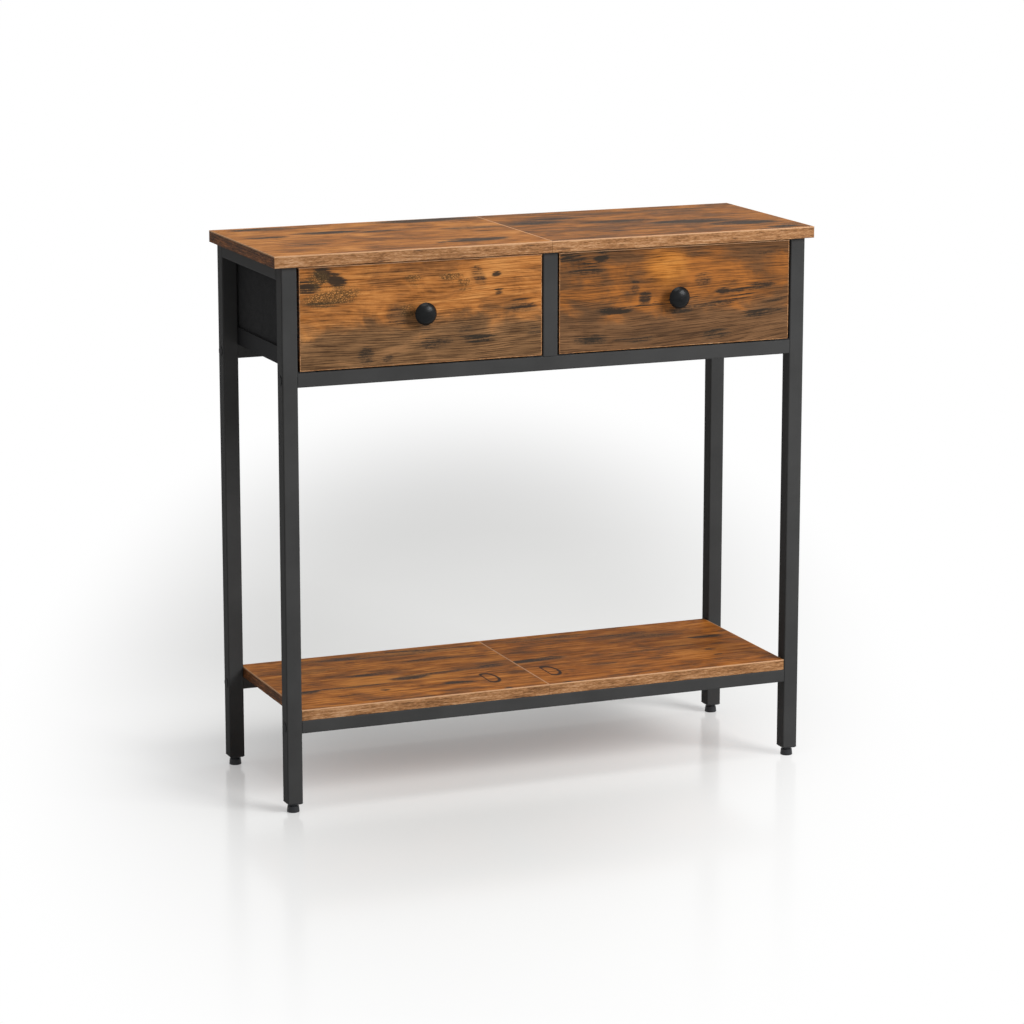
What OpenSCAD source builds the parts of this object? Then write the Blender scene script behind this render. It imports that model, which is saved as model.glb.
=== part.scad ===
// Console table: a square-tube steel frame, a split top and a split shelf of
// wood-grain board, two fabric drawers with board fronts, and four levelling feet.
// Millimetres, +Z up. X runs along the table, and the drawers open towards -Y.
// The origin is on the floor, in the middle of the whole outline, knobs included.

/* [Overall] */
// Width over the top boards
table_w = 800; // [640:1:1200]
// Depth of the top boards
top_d = 284; // [240:1:420]
// Height of the top surface above the floor
table_h = 772; // [640:1:930]

/* [Boards] */
// Thickness of the top boards
top_t = 16; // [12:0.5:25]
// Thickness of the shelf boards
shelf_t = 15; // [12:0.5:22]
// Thickness of the drawer front boards
front_t = 15; // [12:0.5:18]
// Thickness of the edge banding
band_t = 1; // [0.6:0.1:2]
// Overhang of the top past the frame at each end
end_overhang = 11; // [0:0.5:30]
// Overhang of the top past the frame at the front
front_overhang = 6; // [0:0.5:20]
// Height of the shelf surface above the floor
shelf_z = 145; // [110:1:220]
// Distance of the shelf's front edge behind the frame's front plane
shelf_front_inset = 1.5; // [0:0.5:8]
// Distance of the shelf's back edge before the frame's back plane
shelf_back_inset = 8; // [0:0.5:12]
// Gap between the shelf's ends and the legs
shelf_end_gap = 0.4; // [0.2:0.1:2]
// Gap between the two halves of the top and of the shelf
seam_gap = 0.3; // [0.1:0.1:1]

/* [Frame] */
// Width across the square leg tube
leg_w = 22; // [18:0.5:30]
// Wall of every tube
tube_wall = 1.2; // [0.8:0.1:1.8]
// Outside corner radius of every tube
tube_r = 2; // [1.9:0.1:3]
// Height of the upper rails and of the top cross rails
rail_h = 20; // [18:0.5:26]
// Depth of the upper and lower rails and of the centre posts
rail_d = 20; // [18:0.5:22]
// Height of the lower rails and of the shelf batten
lower_rail_h = 18; // [16:0.5:24]
// Width of the shelf batten under the seam
batten_w = 20; // [18:0.5:40]

/* [Drawers] */
// Height of the drawer fronts
drawer_front_h = 140; // [90:1:180]
// Gap between a drawer front and the leg
front_leg_gap = 3; // [1.5:0.1:5]
// Gap between a drawer front and the centre post
front_post_gap = 2; // [1.5:0.1:5]
// Gap above a drawer front
front_top_gap = 2; // [1:0.1:5]
// Gap below a drawer front
front_bottom_gap = 2; // [1.9:0.1:5]
// Distance from the top of the fabric box up to the top boards
box_top_gap = 12; // [6:0.5:40]
// Distance between the back of the fabric box and the back of the frame
box_back_gap = 4; // [3:0.5:30]
// Gap between the fabric box and the upright of its runner
box_side_gap = 1; // [0.5:0.1:5]
// Thickness of the fabric
fabric_t = 1.5; // [1:0.1:2.5]
// Thickness of the stiffening panels inside the fabric
panel_t = 3; // [2:0.5:5]

/* [Runners] */
// Thickness of the runner sheet
runner_t = 1.5; // [1:0.1:1.8]
// Height of the runner uprights above the rails
runner_h = 24; // [12:0.5:40]
// Width of the runner base under the fabric box
runner_base = 24; // [22:0.5:40]

/* [Knobs] */
// Diameter of the knob head
knob_d = 31; // [24:0.5:40]
// Distance the knob stands out of the drawer front
knob_reach = 22; // [18:0.5:30]
// Thickness of the knob head from its rim to its crown
knob_crown = 7; // [4:0.5:9]
// Diameter of the knob's foot on the drawer front
knob_foot_d = 15; // [13:0.5:18]
// Diameter of the knob's neck
knob_neck_d = 10.5; // [9:0.5:13]

/* [Feet] */
// Height of the steel leg's end above the floor
foot_h = 14; // [13:0.5:24]
// Diameter of the foot pad
pad_d = 17.6; // [14:0.2:22]
// Height of the foot pad under its collar
pad_h = 9; // [6:0.5:9.5]
// Thickness of the plug lip under the leg
plug_lip = 2.5; // [2:0.1:3]
// Diameter of the levelling stud
stud_d = 6; // [5:0.5:8]
// Length of the levelling stud above the pad collar
stud_l = 26; // [22:1:40]

/* [Fasteners] */
// Diameter of the frame bolts
bolt_d = 6; // [5:0.5:7]
// Diameter of the frame bolts' heads
bolt_head_d = 10; // [9:0.5:11]
// Height of the frame bolts' heads
bolt_head_h = 4; // [3:0.5:5]
// Depth of the threaded inserts in the tube ends
insert_l = 14; // [10:1:15]
// Diameter of the access holes in the outer tube walls
access_d = 12; // [11.5:0.5:13]
// Diameter of the board screws
screw_d = 3.5; // [3:0.1:4.5]
// Diameter of the board screws' heads
screw_head_d = 7; // [6:0.5:8]
// Depth that the board screws reach into a board
screw_bite = 9; // [6:0.5:10]
// Diameter of the seam dowels
dowel_d = 6; // [5:0.5:8]
// Length of the seam dowels
dowel_l = 30; // [20:1:50]
// Radial clearance of bolts, screws, studs and dowels in their holes
hole_clear = 0.05; // [0.02:0.01:0.1]
// Clearance of a piece that slides into a tube
fit_clear = 0.1; // [0.05:0.05:0.3]
// Running clearance of a drawer box over its runners
run_clear = 0.3; // [0.2:0.05:0.6]

/* [Hidden] */

// Sides and ends: -1 is left or front, 1 is right or rear
LEFT = -1;
RIGHT = 1;
FRONT = -1;
REAR = 1;
SIDES = [LEFT, RIGHT];
ENDS = [FRONT, REAR];

// Facets of round pieces, and of the small corner rounds
$fn = 48;
round_fn = 24;
// Overlap of a cutting tool past the surface that it cuts
cut = 1;

// Frame outline
frame_w = table_w - 2 * end_overhang;
frame_d = top_d - front_overhang;
front_reach = max(knob_reach, front_overhang);
frame_front = (front_reach - frame_d) / 2;
frame_back = frame_front + frame_d;
leg_x = frame_w / 2 - leg_w / 2;
leg_in_x = frame_w / 2 - leg_w;
leg_top = table_h - top_t;
top_front = frame_front - front_overhang;

// Levels of the rails and of the drawer fronts
front_top = leg_top - front_top_gap;
front_z = front_top - drawer_front_h;
rail_top = front_z - front_bottom_gap;
rail_z = rail_top - rail_h;
shelf_bottom = shelf_z - shelf_t;
lower_rail_z = shelf_bottom - lower_rail_h;
top_rail_z = leg_top - rail_h;

// Drawer front and fabric box, on the right-hand side of the table
front_x0 = leg_w / 2 + front_post_gap;
front_x1 = leg_in_x - front_leg_gap;
front_w = front_x1 - front_x0;
front_mid_x = (front_x0 + front_x1) / 2;
front_mid_z = front_z + drawer_front_h / 2;
box_x0 = leg_w / 2 + runner_t + box_side_gap;
box_x1 = leg_in_x - runner_t - box_side_gap;
box_y0 = frame_front + front_t;
box_y1 = frame_back - box_back_gap;
box_z0 = rail_top + runner_t + run_clear;
box_z1 = leg_top - box_top_gap;
box_w = box_x1 - box_x0;
box_d = box_y1 - box_y0;
box_h = box_z1 - box_z0;
hem_t = 2 * fabric_t;

// Runners: the upright starts behind the drawer front, and the stop is at the back
runner_end_gap = 1;
upright_setback = 2;
upright_y0 = box_y0 + upright_setback;
stop_h = 18;
stop_w = 12;
runner_y0 = frame_front + runner_end_gap;
runner_y1 = frame_back - runner_end_gap;
runner_screw_d = 3;
runner_screw_head_d = 6;
runner_screw_head_h = 1.2;
runner_screw_l = 8;
runner_screw_space = 0.5;

// Feet, from the floor up
plug_z = foot_h - plug_lip;
collar_d = 12;
collar_gap = 0.05;
plug_bevel = 2.2;
plug_in = 18;
plug_edge_in = 0.2;
plug_edge_h = plug_lip / 4;
pad_round = 1;
pad_chamfer = 0.6;
pad_top_d = pad_d - 1.6;
stud_seat = 4;
stud_top = pad_h + stud_l;
stud_tip_h = 1;
stud_tip_d = stud_d - 1.6;
nut_w = 10;
nut_h = 8;
nut_in = 4;
nut_z = foot_h + nut_in;

// Bolt positions and lengths
bolt_y_in = rail_d / 2;
bolt_short = 2;
bolt_shank = insert_l + tube_wall - bolt_short;
cap_rim_d = access_d + 2;
cap_rim_t = 0.8;
cap_body_l = 3;
cap_body_d = access_d - 4 * hole_clear;
cap_bore_d = access_d - 3;

// Board screw positions
screw_head_h = 2;
screw_clear_d = screw_head_d + 2;
screw_side_in = 45;
screw_shelf_in = 50;
screw_seam_in = min(leg_w, batten_w) / 2 - tube_r - screw_head_d / 2;
seam_stagger = screw_clear_d / 2;
screw_wall_gap = 0.3;
screw_rail_in = rail_d - tube_wall - screw_clear_d / 2 - screw_wall_gap;
screw_tip_gap = 0.5;
board_blind = screw_bite + screw_tip_gap;

// Dowels
dowel_in = 45;
dowel_spots = [-1, 0, 1];

// Knob and its screw
knob_screw_d = 4;
knob_screw_head_d = 8;
knob_screw_head_h = 2.4;
knob_screw_reach = 12;
knob_bore = knob_screw_reach + 1;
knob_screw_pocket_d = knob_screw_head_d + 1;
box_screw_l = 10;
box_screw_in_x = 40;
box_screw_in_z = 30;

// Colours
STEEL = "#2f3032";
WOOD = "#9a6236";
EDGE = "#8f7058";
FABRIC = "#1d1d1f";
PLASTIC = "#17181a";
ZINC = "#b4b6b8";
PANEL = "#8a7963";
BIRCH = "#d8bd8e";

// ---- Shared shapes ----

// Rectangle centred on the origin with true round corners
module rounded_rect(w, h, r) {
    square([w - 2 * r, h], center = true);
    square([w, h - 2 * r], center = true);
    for (x = SIDES, y = ENDS)
        translate([x * (w / 2 - r), y * (h / 2 - r)])
            circle(r = r, $fn = round_fn);
}

// Section of a tube that is w by h outside
module tube_section(w, h) {
    difference() {
        rounded_rect(w, h, tube_r);
        rounded_rect(w - 2 * tube_wall, h - 2 * tube_wall, tube_r - tube_wall);
    }
}

// Section of a block that slides into a tube that is w by h outside
module insert_section(w, h) {
    inner_w = w - 2 * tube_wall - 2 * fit_clear;
    inner_h = h - 2 * tube_wall - 2 * fit_clear;
    rounded_rect(inner_w, inner_h, tube_r - tube_wall + fit_clear);
}

// Tube standing on z0, centred on the Z axis
module tube_z(w, d, z0, z1) {
    translate([0, 0, z0])
        linear_extrude(height = z1 - z0)
            tube_section(w, d);
}

// Tube along X between x0 and x1, d deep and h high, with its lowest front edge at y0, z0
module tube_x(x0, x1, y0, z0, d, h) {
    translate([x0, y0 + d / 2, z0 + h / 2])
        rotate([90, 0, 90])
            linear_extrude(height = x1 - x0)
                tube_section(d, h);
}

// Tube along Y between y0 and y1, w wide and h high, centred on x
module tube_y(x, y0, y1, z0, w, h) {
    translate([x, y1, z0 + h / 2])
        rotate([90, 0, 0])
            linear_extrude(height = y1 - y0)
                tube_section(w, h);
}

// Cylinder from the origin along +X or -X, by the sign of dir
module rod_x(dir, d, l) {
    rotate([0, dir * 90, 0])
        cylinder(d = d, h = l);
}

// Cylinder from the origin along +Y
module rod_y(d, l) {
    rotate([-90, 0, 0])
        cylinder(d = d, h = l);
}

// ---- Fastener positions ----

// Places children on the axis of the leg on the side sx and at the end sy
module at_leg(sx, sy) {
    translate([sx * leg_x, frame_edge(sy) - sy * leg_w / 2, 0])
        children();
}

function frame_edge(sy) = sy == FRONT ? frame_front : frame_back;
function rail_mid_y(sy) = frame_edge(sy) - sy * bolt_y_in;
function rail_y0(sy) = sy == FRONT ? frame_front : frame_back - rail_d;
RAIL_LEVELS = [rail_z + rail_h / 2, lower_rail_z + lower_rail_h / 2];

// Board screws as [x, y] on each line: end rails, centre rail, lower rails and batten
screw_y = [frame_front + leg_w + screw_side_in, frame_back - leg_w - screw_side_in];
shelf_screw_x = [leg_in_x - screw_shelf_in, (leg_in_x + batten_w) / 2 - screw_shelf_in];
function seam_screws(sx) = [for (y = screw_y) [screw_seam_in, y + sx * seam_stagger]];
function top_screws(sx) = concat([for (y = screw_y) [leg_x, y]], seam_screws(sx));
shelf_rail_screws = [
    for (x = shelf_screw_x, sy = ENDS)
        [x, frame_edge(sy) - sy * screw_rail_in]
];
function shelf_screws(sx) = concat(shelf_rail_screws, seam_screws(sx));

// Runner screws on the rails, as distances from the middle of the table
runner_screw_x = [
    leg_in_x - insert_l - runner_screw_head_d / 2 - runner_screw_space,
    leg_w / 2 + runner_base / 2
];

// Dowel rows across each seam
function dowel_y(i, y0, y1) = (y0 + y1) / 2 + i * ((y1 - y0) / 2 - dowel_in);
shelf_y0 = frame_front + shelf_front_inset;
shelf_y1 = frame_back - shelf_back_inset;

// Holes for a screw that goes up through a rail whose top is at z
module rail_screw_holes(z, h) {
    translate([0, 0, z - tube_wall - cut])
        cylinder(d = screw_d + 2 * hole_clear, h = tube_wall + 2 * cut);
    translate([0, 0, z - h - cut])
        cylinder(d = screw_clear_d, h = h - tube_wall - screw_head_h);
}

// Holes for the pairs of screws beside a seam, in a rail of height h whose top is at z
module seam_screw_holes(z, h) {
    slot_w = 2 * screw_seam_in + screw_head_d;
    slot_l = 2 * seam_stagger + screw_clear_d;
    for (sx = SIDES, p = seam_screws(sx))
        translate([sx * p[0], p[1], z - tube_wall - cut])
            cylinder(d = screw_d + 2 * hole_clear, h = tube_wall + 2 * cut);
    for (y = screw_y)
        translate([-slot_w / 2, y - slot_l / 2, z - h - cut])
            cube([slot_w, slot_l, tube_wall + 2 * cut]);
}

// Screw that goes up through the top wall of a rail at z, into the board above
module board_screw(z) {
    translate([0, 0, z - tube_wall - screw_head_h])
        cylinder(d = screw_head_d, h = screw_head_h);
    translate([0, 0, z - tube_wall - screw_head_h / 2])
        cylinder(d = screw_d, h = tube_wall + screw_head_h / 2 + screw_bite);
}

// Blind hole for that screw in the board's underside at z
module board_hole(z) {
    translate([0, 0, z - cut])
        cylinder(d = screw_d + 2 * hole_clear, h = board_blind + cut);
}

// ---- Boards ----

// Plan of one half board, on the side sx, as core or as whole
module half_plan(sx, x1, y0, y1, inset) {
    lo = seam_gap / 2 + inset;
    hi = x1 - inset;
    translate([sx == RIGHT ? lo : -hi, y0 + inset])
        square([hi - lo, y1 - y0 - 2 * inset]);
}

module dowel_holes(y0, y1, z) {
    for (i = dowel_spots)
        translate([-dowel_l / 2 - cut, dowel_y(i, y0, y1), z])
            rod_x(RIGHT, dowel_d + 2 * hole_clear, dowel_l + 2 * cut);
}

module top_board(sx) {
    color(WOOD)
        difference() {
            translate([0, 0, leg_top])
                linear_extrude(height = top_t)
                    half_plan(sx, table_w / 2, top_front, frame_back, band_t);
            dowel_holes(top_front, frame_back, leg_top + top_t / 2);
            for (p = top_screws(sx))
                translate([sx * p[0], p[1], 0])
                    board_hole(leg_top);
        }
}

module top_edging(sx) {
    color(EDGE)
        difference() {
            translate([0, 0, leg_top])
                linear_extrude(height = top_t)
                    half_plan(sx, table_w / 2, top_front, frame_back, 0);
            translate([0, 0, leg_top - cut])
                linear_extrude(height = top_t + 2 * cut)
                    half_plan(sx, table_w / 2, top_front, frame_back, band_t);
            dowel_holes(top_front, frame_back, leg_top + top_t / 2);
        }
}

module shelf_board(sx) {
    color(WOOD)
        difference() {
            translate([0, 0, shelf_bottom])
                linear_extrude(height = shelf_t)
                    half_plan(sx, leg_in_x - shelf_end_gap, shelf_y0, shelf_y1, band_t);
            dowel_holes(shelf_y0, shelf_y1, shelf_bottom + shelf_t / 2);
            for (p = shelf_screws(sx))
                translate([sx * p[0], p[1], 0])
                    board_hole(shelf_bottom);
        }
}

module shelf_edging(sx) {
    color(EDGE)
        difference() {
            translate([0, 0, shelf_bottom])
                linear_extrude(height = shelf_t)
                    half_plan(sx, leg_in_x - shelf_end_gap, shelf_y0, shelf_y1, 0);
            translate([0, 0, shelf_bottom - cut])
                linear_extrude(height = shelf_t + 2 * cut)
                    half_plan(sx, leg_in_x - shelf_end_gap, shelf_y0, shelf_y1, band_t);
            dowel_holes(shelf_y0, shelf_y1, shelf_bottom + shelf_t / 2);
        }
}

module seam_dowels() {
    color(BIRCH)
        for (i = dowel_spots) {
            translate([-dowel_l / 2, dowel_y(i, top_front, frame_back), leg_top + top_t / 2])
                rod_x(RIGHT, dowel_d, dowel_l);
            translate([-dowel_l / 2, dowel_y(i, shelf_y0, shelf_y1), shelf_bottom + shelf_t / 2])
                rod_x(RIGHT, dowel_d, dowel_l);
        }
}

// ---- Frame ----

// Leg with bolt holes in its inner wall and access holes in its outer wall
module leg(sx, sy) {
    color(STEEL)
        difference() {
            at_leg(sx, sy)
                tube_z(leg_w, leg_w, foot_h, leg_top);
            for (z = RAIL_LEVELS)
                translate([sx * leg_x, rail_mid_y(sy), z]) {
                    rod_x(-sx, bolt_d + 2 * hole_clear, leg_w);
                    rod_x(sx, access_d, leg_w);
                }
        }
}

// Rail under the top at one end of the table
module side_rail(sx) {
    color(STEEL)
        difference() {
            tube_y(sx * leg_x, frame_front + leg_w, frame_back - leg_w, top_rail_z, leg_w, rail_h);
            for (y = screw_y)
                translate([sx * leg_x, y, 0])
                    rail_screw_holes(leg_top, rail_h);
        }
}

module centre_top_rail() {
    color(STEEL)
        difference() {
            tube_y(0, frame_front + rail_d, frame_back - rail_d, top_rail_z, leg_w, rail_h);
            seam_screw_holes(leg_top, rail_h);
        }
}

// Post between the drawers, standing on an upper rail
module centre_post(sy) {
    color(STEEL)
        translate([0, rail_y0(sy) + rail_d / 2, 0])
            tube_z(leg_w, rail_d, rail_top, leg_top);
}

// Rail under the drawers, with holes for the post bolt and the runner screws
module upper_rail(sy) {
    color(STEEL)
        difference() {
            tube_x(-leg_in_x, leg_in_x, rail_y0(sy), rail_z, rail_d, rail_h);
            translate([0, rail_mid_y(sy), rail_top - tube_wall - cut])
                cylinder(d = bolt_d + 2 * hole_clear, h = tube_wall + 2 * cut);
            translate([0, rail_mid_y(sy), rail_z - cut])
                cylinder(d = access_d, h = tube_wall + 2 * cut);
            for (x = runner_screw_x, sx = SIDES)
                translate([sx * x, rail_mid_y(sy), rail_top - tube_wall - cut])
                    cylinder(d = runner_screw_d + 2 * hole_clear, h = tube_wall + 2 * cut);
        }
}

module lower_rail(sy) {
    color(STEEL)
        difference() {
            tube_x(-leg_in_x, leg_in_x, rail_y0(sy), lower_rail_z, rail_d, lower_rail_h);
            for (x = shelf_screw_x, sx = SIDES)
                translate([sx * x, frame_edge(sy) - sy * screw_rail_in, 0])
                    rail_screw_holes(shelf_bottom, lower_rail_h);
        }
}

// Batten under the shelf's seam, between the lower rails
module shelf_batten() {
    color(STEEL)
        difference() {
            tube_y(0, frame_front + rail_d, frame_back - rail_d, lower_rail_z, batten_w, lower_rail_h);
            seam_screw_holes(shelf_bottom, lower_rail_h);
        }
}

// ---- Runners ----

module runner_screw_holes(x) {
    for (sy = ENDS)
        translate([x, rail_mid_y(sy), rail_top]) {
            translate([0, 0, -cut])
                cylinder(d = runner_screw_d + 2 * hole_clear, h = runner_t + 2 * cut);
            translate([0, 0, runner_t - runner_screw_head_h])
                cylinder(
                    d1 = runner_screw_d + 2 * hole_clear,
                    d2 = runner_screw_head_d + 2 * hole_clear,
                    h = runner_screw_head_h
                );
        }
}

// Upright of a runner, with its outer face at x and its thickness towards dir
module runner_upright(x, dir) {
    translate([dir > 0 ? x : x - runner_t, upright_y0, rail_top])
        cube([runner_t, box_y1 + run_clear + runner_t - upright_y0, runner_h]);
    translate([dir > 0 ? x : x - stop_w, box_y1 + run_clear, rail_top])
        cube([stop_w, runner_t, stop_h]);
}

// Angle that carries the outer side of a drawer box
module runner_outer(sx) {
    color(STEEL)
        difference() {
            union() {
                translate([sx == RIGHT ? leg_in_x - runner_base : -leg_in_x, runner_y0, rail_top])
                    cube([runner_base, runner_y1 - runner_y0, runner_t]);
                runner_upright(sx * leg_in_x, -sx);
            }
            runner_screw_holes(sx * runner_screw_x[0]);
        }
}

// Double angle between the drawers, notched round the two centre posts
module runner_centre() {
    half = leg_w / 2 + runner_base;
    notch = rail_d + fit_clear;
    color(STEEL)
        difference() {
            union() {
                translate([-half, runner_y0, rail_top])
                    cube([2 * half, runner_y1 - runner_y0, runner_t]);
                for (sx = SIDES)
                    runner_upright(sx * leg_w / 2, sx);
            }
            for (sy = ENDS)
                translate([
                    -leg_w / 2 - fit_clear,
                    sy == FRONT ? frame_front - cut : frame_back - notch,
                    rail_top - cut
                ])
                    cube([leg_w + 2 * fit_clear, notch + cut, runner_t + 2 * cut]);
            for (sx = SIDES)
                runner_screw_holes(sx * runner_screw_x[1]);
        }
}

module runner_screws() {
    color(ZINC)
        for (sx = SIDES, x = runner_screw_x, sy = ENDS)
            translate([sx * x, rail_mid_y(sy), rail_top]) {
                translate([0, 0, runner_t - runner_screw_l])
                    cylinder(d = runner_screw_d, h = runner_screw_l - runner_screw_head_h);
                translate([0, 0, runner_t - runner_screw_head_h])
                    cylinder(
                        d1 = runner_screw_d,
                        d2 = runner_screw_head_d,
                        h = runner_screw_head_h
                    );
            }
}

// ---- Feet ----

// Plastic plug in the leg's end: a bevelled lip below and a square body inside
module leg_plug(sx, sy) {
    color(PLASTIC)
        at_leg(sx, sy)
            difference() {
                union() {
                    hull() {
                        translate([0, 0, foot_h - plug_edge_h])
                            linear_extrude(height = plug_edge_h)
                                square(leg_w - 2 * plug_edge_in, center = true);
                        translate([0, 0, plug_z])
                            linear_extrude(height = plug_edge_h)
                                square(leg_w - 2 * plug_bevel, center = true);
                    }
                    translate([0, 0, foot_h])
                        linear_extrude(height = plug_in)
                            insert_section(leg_w, leg_w);
                }
                translate([0, 0, plug_z - cut])
                    cylinder(d = stud_d + 4 * hole_clear, h = plug_in + plug_lip + 2 * cut);
                translate([0, 0, nut_z])
                    linear_extrude(height = plug_in)
                        square(nut_w + 2 * hole_clear, center = true);
            }
}

// Round glide: a pad with a rounded foot, and a collar that meets the plug
module foot_pad(sx, sy) {
    collar_h = plug_z - pad_h - collar_gap;
    color(PLASTIC)
        at_leg(sx, sy)
            difference() {
                rotate_extrude() {
                    translate([0, pad_round])
                        polygon([
                            [0, 0],
                            [pad_d / 2, 0],
                            [pad_top_d / 2, pad_h - pad_round - pad_chamfer],
                            [pad_top_d / 2 - pad_chamfer, pad_h - pad_round],
                            [0, pad_h - pad_round]
                        ]);
                    square([pad_d / 2 - pad_round, pad_round * 2]);
                    translate([pad_d / 2 - pad_round, pad_round])
                        circle(r = pad_round, $fn = round_fn);
                    translate([0, pad_h - pad_round])
                        square([collar_d / 2, collar_h + pad_round]);
                }
                translate([0, 0, pad_h - stud_seat])
                    cylinder(d = stud_d + 2 * hole_clear, h = stud_seat + collar_h + cut);
            }
}

module foot_stud(sx, sy) {
    color(ZINC)
        at_leg(sx, sy) {
            translate([0, 0, pad_h - stud_seat])
                cylinder(d = stud_d, h = stud_top - stud_tip_h - pad_h + stud_seat);
            translate([0, 0, stud_top - stud_tip_h])
                cylinder(d1 = stud_d, d2 = stud_tip_d, h = stud_tip_h);
        }
}

// ---- Bolts, caps and inserts ----

module frame_bolts() {
    color(ZINC) {
        for (sx = SIDES, sy = ENDS, z = RAIL_LEVELS)
            translate([sx * (leg_in_x + tube_wall), rail_mid_y(sy), z]) {
                rod_x(sx, bolt_head_d, bolt_head_h);
                rod_x(-sx, bolt_d, bolt_shank);
            }
        for (sy = ENDS)
            translate([0, rail_mid_y(sy), rail_top - tube_wall]) {
                translate([0, 0, -bolt_head_h])
                    cylinder(d = bolt_head_d, h = bolt_head_h);
                cylinder(d = bolt_d, h = bolt_shank);
            }
    }
}

// Plastic caps that close the access holes in the legs
module bolt_caps() {
    color(PLASTIC)
        for (sx = SIDES, sy = ENDS, z = RAIL_LEVELS)
            translate([sx * frame_w / 2, rail_mid_y(sy), z]) {
                rod_x(sx, cap_rim_d, cap_rim_t);
                difference() {
                    rod_x(-sx, cap_body_d, cap_body_l);
                    translate([-sx * cap_rim_t, 0, 0])
                        rod_x(-sx, cap_bore_d, cap_body_l);
                }
            }
}

module threaded_inserts() {
    color(ZINC) {
        for (sx = SIDES, sy = ENDS, level = [0, 1])
            translate([sx * leg_in_x, rail_mid_y(sy), RAIL_LEVELS[level]])
                rotate([0, -sx * 90, 0])
                    difference() {
                        linear_extrude(height = insert_l)
                            rotate([0, 0, 90])
                                insert_section(rail_d, level == 0 ? rail_h : lower_rail_h);
                        translate([0, 0, -cut])
                            cylinder(d = bolt_d + 2 * hole_clear, h = insert_l + 2 * cut);
                    }
        for (sy = ENDS)
            translate([0, rail_mid_y(sy), rail_top])
                difference() {
                    linear_extrude(height = insert_l)
                        insert_section(leg_w, rail_d);
                    translate([0, 0, -cut])
                        cylinder(d = bolt_d + 2 * hole_clear, h = insert_l + 2 * cut);
                }
        for (sx = SIDES, sy = ENDS)
            at_leg(sx, sy)
                difference() {
                    translate([0, 0, nut_z])
                        linear_extrude(height = nut_h)
                            square(nut_w, center = true);
                    translate([0, 0, nut_z - cut])
                        cylinder(d = stud_d + 2 * hole_clear, h = nut_h + 2 * cut);
                }
    }
}

module board_screws() {
    color(ZINC)
        for (sx = SIDES) {
            for (p = top_screws(sx))
                translate([sx * p[0], p[1], 0])
                    board_screw(leg_top);
            for (p = shelf_screws(sx))
                translate([sx * p[0], p[1], 0])
                    board_screw(shelf_bottom);
        }
}

// ---- Drawers ----

// Places a shape that is built for the right-hand drawer on the side sx
module on_side(sx) {
    mirror([sx == LEFT ? 1 : 0, 0, 0])
        children();
}

// Centres of the four screws that hold the box to the front, as [x, z]
box_screws = [
    for (x = [box_x0 + box_screw_in_x, box_x1 - box_screw_in_x],
         z = [box_z0 + box_screw_in_z, box_z1 - box_screw_in_z])
        [x, z]
];

module front_outline(inset, y0, y1) {
    translate([front_x0 + inset, y0, front_z + inset])
        cube([front_w - 2 * inset, y1 - y0, drawer_front_h - 2 * inset]);
}

module drawer_front(sx) {
    color(WOOD)
        on_side(sx)
            difference() {
                front_outline(band_t, frame_front, box_y0);
                translate([front_mid_x, frame_front - cut, front_mid_z])
                    rod_y(knob_screw_d + 2 * hole_clear, front_t + 2 * cut);
                translate([front_mid_x, box_y0 - knob_screw_head_h - 2 * hole_clear, front_mid_z])
                    rod_y(knob_screw_pocket_d, front_t);
                for (p = box_screws)
                    translate([p[0], box_y0 - box_screw_l, p[1]])
                        rod_y(screw_d + 2 * hole_clear, front_t);
            }
}

module drawer_edging(sx) {
    color(EDGE)
        on_side(sx)
            difference() {
                front_outline(0, frame_front, box_y0);
                front_outline(band_t, frame_front - cut, box_y0 + cut);
            }
}

// Fabric box, open at the top, with a doubled hem round its rim
module fabric_box(sx) {
    color(FABRIC)
        on_side(sx)
            difference() {
                translate([box_x0, box_y0, box_z0])
                    cube([box_w, box_d, box_h]);
                translate([box_x0 + fabric_t, box_y0 + fabric_t, box_z0 + fabric_t])
                    cube([box_w - 2 * fabric_t, box_d - 2 * fabric_t, box_h]);
                for (p = box_screws)
                    translate([p[0], box_y0 - cut, p[1]])
                        rod_y(screw_d + 2 * hole_clear, fabric_t + 2 * cut);
            }
}

module box_bottom(sx) {
    color(PANEL)
        on_side(sx)
            translate([box_x0 + fabric_t, box_y0 + fabric_t, box_z0 + fabric_t])
                cube([box_w - 2 * fabric_t, box_d - 2 * fabric_t, panel_t]);
}

// Four upright panels that stand on the bottom panel, inside the fabric
module box_panels(sx) {
    x0 = box_x0 + fabric_t;
    x1 = box_x1 - fabric_t;
    y0 = box_y0 + fabric_t;
    y1 = box_y1 - fabric_t;
    z0 = box_z0 + fabric_t + panel_t;
    h = box_z1 - hem_t - z0;
    color(PANEL)
        on_side(sx) {
            for (x = [x0, x1 - panel_t])
                translate([x, y0, z0])
                    cube([panel_t, y1 - y0, h]);
            translate([x0 + panel_t + fit_clear, y1 - panel_t, z0])
                cube([x1 - x0 - 2 * panel_t - 2 * fit_clear, panel_t, h]);
            difference() {
                translate([x0 + panel_t + fit_clear, y0, z0])
                    cube([x1 - x0 - 2 * panel_t - 2 * fit_clear, panel_t, h]);
                for (p = box_screws)
                    translate([p[0], y0 - cut, p[1]])
                        rod_y(screw_d + 2 * hole_clear, panel_t + 2 * cut);
            }
        }
}

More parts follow.
